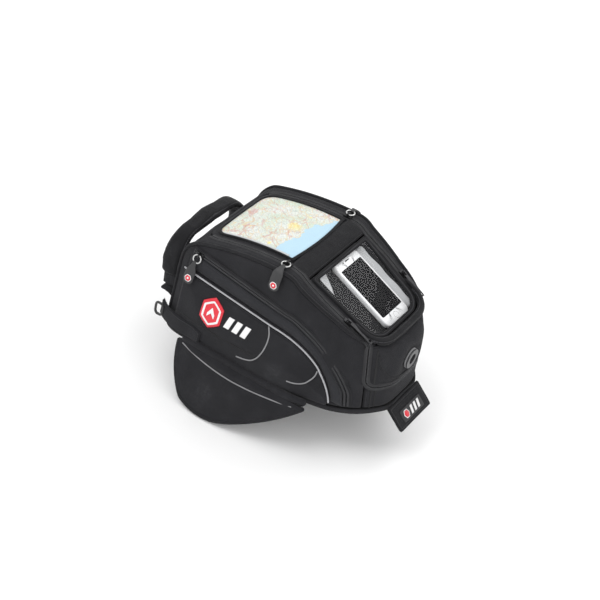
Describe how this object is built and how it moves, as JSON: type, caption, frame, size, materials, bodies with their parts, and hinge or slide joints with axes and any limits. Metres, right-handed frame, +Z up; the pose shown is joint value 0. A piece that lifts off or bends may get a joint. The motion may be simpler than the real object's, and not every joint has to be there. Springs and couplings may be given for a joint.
{
  "type": "motorcycle tank bag",
  "caption": "Padded tank bag with a zipped map lid, clear phone pouch, piped side pockets, an arched carry handle and magnet flaps that hang over the tank.",
  "frame": {"origin": "middle of the underside of the base, where the bag sits on the fuel tank", "axes": "+X towards the rider (rear of the motorcycle), +Y to the rider's right, +Z up off the tank"},
  "size_m": [0.4092, 0.3298, 0.2601],
  "materials": {
    "badge_rubber": "red moulded rubber",
    "binding": "grosgrain binding",
    "black_cordura": "coarse woven nylon, matt",
    "black_metal": "black lacquered zip hardware",
    "black_smooth": "fine woven nylon, matt",
    "board": "stiff sheet",
    "clear_pvc": "clear flexible sheet",
    "grey_pvc": "glossy grey strip",
    "label": "moulded label",
    "magnet": "coated magnet",
    "map_paper": "printed paper",
    "nickel": "nickel-plated wire",
    "padded_grey": "soft padded cloth",
    "phone_body": "white case with a black screen",
    "pouch_lining": "smooth lining",
    "reflective": "silver reflective piping",
    "rubber": "moulded rubber",
    "webbing": "woven nylon webbing",
    "white_print": "white print",
    "zip_tape": "zip tape with a coil"
  },
  "bodies": {
    "bag": {"base_panel": "black_smooth", "base_binding": "binding", "base_board": "board", "side_wall_left": "black_cordura", "side_wall_right": "black_cordura", "front_wall": "black_cordura", "rear_lip": "black_cordura", "side_decks": "black_cordura", "pocket_panels": "black_cordura", "pocket_piping": "reflective", "pocket_gussets": "black_smooth", "pocket_zips": "zip_tape", "main_zip_deck": "zip_tape", "flap_hems": "black_smooth", "front_tabs": "black_cordura", "front_loops": "webbing", "handle_anchors": "webbing", "badges": "badge_rubber", "badge_bars": "white_print"},
    "lid": {"lid_panel": "black_cordura", "lid_band": "black_cordura", "rear_face": "black_cordura", "lid_board": "board", "cable_port": "rubber", "map_sheet": "map_paper", "map_window": "clear_pvc", "map_frame": "grey_pvc", "main_zip_lid": "zip_tape", "pouch_tray": "pouch_lining", "phone": "phone_body"},
    "pouch_cover": {"pouch_frame": "black_smooth", "pouch_window": "clear_pvc", "pouch_roll": "padded_grey"},
    "carry_handle": {"handle_sleeve": "padded_grey", "handle_webbing": "webbing"},
    "rear_tongue": {"rear_tongue": "black_cordura", "tongue_magnet": "magnet", "tongue_label": "label"},
    "flap_left": {"flap_left": "black_smooth", "flap_binding_left": "binding", "flap_magnets_left": "magnet"},
    "main_slider_left": {"main_slider_left": "black_metal"},
    "main_pull_left": {"main_ring_left": "nickel", "main_tag_left": "rubber"},
    "rear_slider_left": {"rear_slider_left": "black_metal"},
    "rear_pull_left": {"rear_puller_left": "black_metal"},
    "pocket_slider_left": {"pocket_slider_left": "black_metal"},
    "pocket_pull_left": {"pocket_ring_left": "nickel", "pocket_tag_left": "rubber"},
    "flap_right": {"flap_right": "black_smooth", "flap_binding_right": "binding", "flap_magnets_right": "magnet"},
    "main_slider_right": {"main_slider_right": "black_metal"},
    "main_pull_right": {"main_ring_right": "nickel", "main_tag_right": "rubber"},
    "rear_slider_right": {"rear_slider_right": "black_metal"},
    "rear_pull_right": {"rear_puller_right": "black_metal"},
    "pocket_slider_right": {"pocket_slider_right": "black_metal"},
    "pocket_pull_right": {"pocket_ring_right": "nickel", "pocket_tag_right": "rubber"}
  },
  "joints": [
    {"name": "lid_hinge", "type": "hinge", "parent": "bag", "child": "lid", "pos_m": [-0.1464, 0, 0.15058], "axis": [0, -1, 0], "range_deg": [0, 85]},
    {"name": "pouch_cover_hinge", "type": "hinge", "parent": "lid", "child": "pouch_cover", "pos_m": [0.02245, 0, 0.16829], "axis": [0, -1, 0], "range_deg": [0, 80]},
    {"name": "carry_handle_fold", "type": "hinge", "parent": "bag", "child": "carry_handle", "pos_m": [-0.1992, 0, 0.0438], "axis": [0, -1, 0], "range_deg": [0, 75]},
    {"name": "rear_tongue_fold", "type": "hinge", "parent": "bag", "child": "rear_tongue", "pos_m": [0.17165, 0, 0.004], "axis": [0, -1, 0], "range_deg": [0, 100]},
    {"name": "flap_fold_left", "type": "hinge", "parent": "bag", "child": "flap_left", "pos_m": [0, -0.127, 0.007], "axis": [-1, 0, 0], "range_deg": [0, 110]},
    {"name": "main_zip_run_left", "type": "hinge", "parent": "lid", "child": "main_slider_left", "pos_m": [0.0009, 0, -0.23812], "axis": [0, -1, 0], "range_deg": [0, 13.5]},
    {"name": "main_pull_lift_left", "type": "hinge", "parent": "main_slider_left", "child": "main_pull_left", "pos_m": [-0.011, -0.0784, 0.1832], "axis": [-1, 0, 0], "range_deg": [0, 100]},
    {"name": "rear_zip_run_left", "type": "slide", "parent": "lid", "child": "rear_slider_left", "axis": [0.9025, 0.0916, -0.4208], "range_m": [-0.065, 0.035]},
    {"name": "rear_pull_lift_left", "type": "hinge", "parent": "rear_slider_left", "child": "rear_pull_left", "pos_m": [0.09489, -0.07508, 0.14025], "axis": [0.083, -0.9958, -0.0387], "range_deg": [0, 110]},
    {"name": "pocket_zip_run_left", "type": "slide", "parent": "bag", "child": "pocket_slider_left", "axis": [0.9924, -0.0288, -0.1198], "range_m": [0, 0.118]},
    {"name": "pocket_pull_lift_left", "type": "hinge", "parent": "pocket_slider_left", "child": "pocket_pull_left", "pos_m": [-0.13405, -0.1058, 0.13999], "axis": [-0.9924, 0.0288, 0.1198], "range_deg": [0, 95]},
    {"name": "flap_fold_right", "type": "hinge", "parent": "bag", "child": "flap_right", "pos_m": [0, 0.127, 0.007], "axis": [1, 0, 0], "range_deg": [0, 110]},
    {"name": "main_zip_run_right", "type": "hinge", "parent": "lid", "child": "main_slider_right", "pos_m": [0.0009, 0, -0.23812], "axis": [0, -1, 0], "range_deg": [0, 13.5]},
    {"name": "main_pull_lift_right", "type": "hinge", "parent": "main_slider_right", "child": "main_pull_right", "pos_m": [-0.011, 0.0784, 0.1832], "axis": [1, 0, 0], "range_deg": [0, 100]},
    {"name": "rear_zip_run_right", "type": "slide", "parent": "lid", "child": "rear_slider_right", "axis": [0.9025, -0.0916, -0.4208], "range_m": [-0.065, 0.035]},
    {"name": "rear_pull_lift_right", "type": "hinge", "parent": "rear_slider_right", "child": "rear_pull_right", "pos_m": [0.09489, 0.07508, 0.14025], "axis": [-0.083, -0.9958, 0.0387], "range_deg": [0, 110]},
    {"name": "pocket_zip_run_right", "type": "slide", "parent": "bag", "child": "pocket_slider_right", "axis": [0.9924, 0.0288, -0.1198], "range_m": [0, 0.118]},
    {"name": "pocket_pull_lift_right", "type": "hinge", "parent": "pocket_slider_right", "child": "pocket_pull_right", "pos_m": [-0.13405, 0.1058, 0.13999], "axis": [0.9924, 0.0288, -0.1198], "range_deg": [0, 95]}
  ]
}
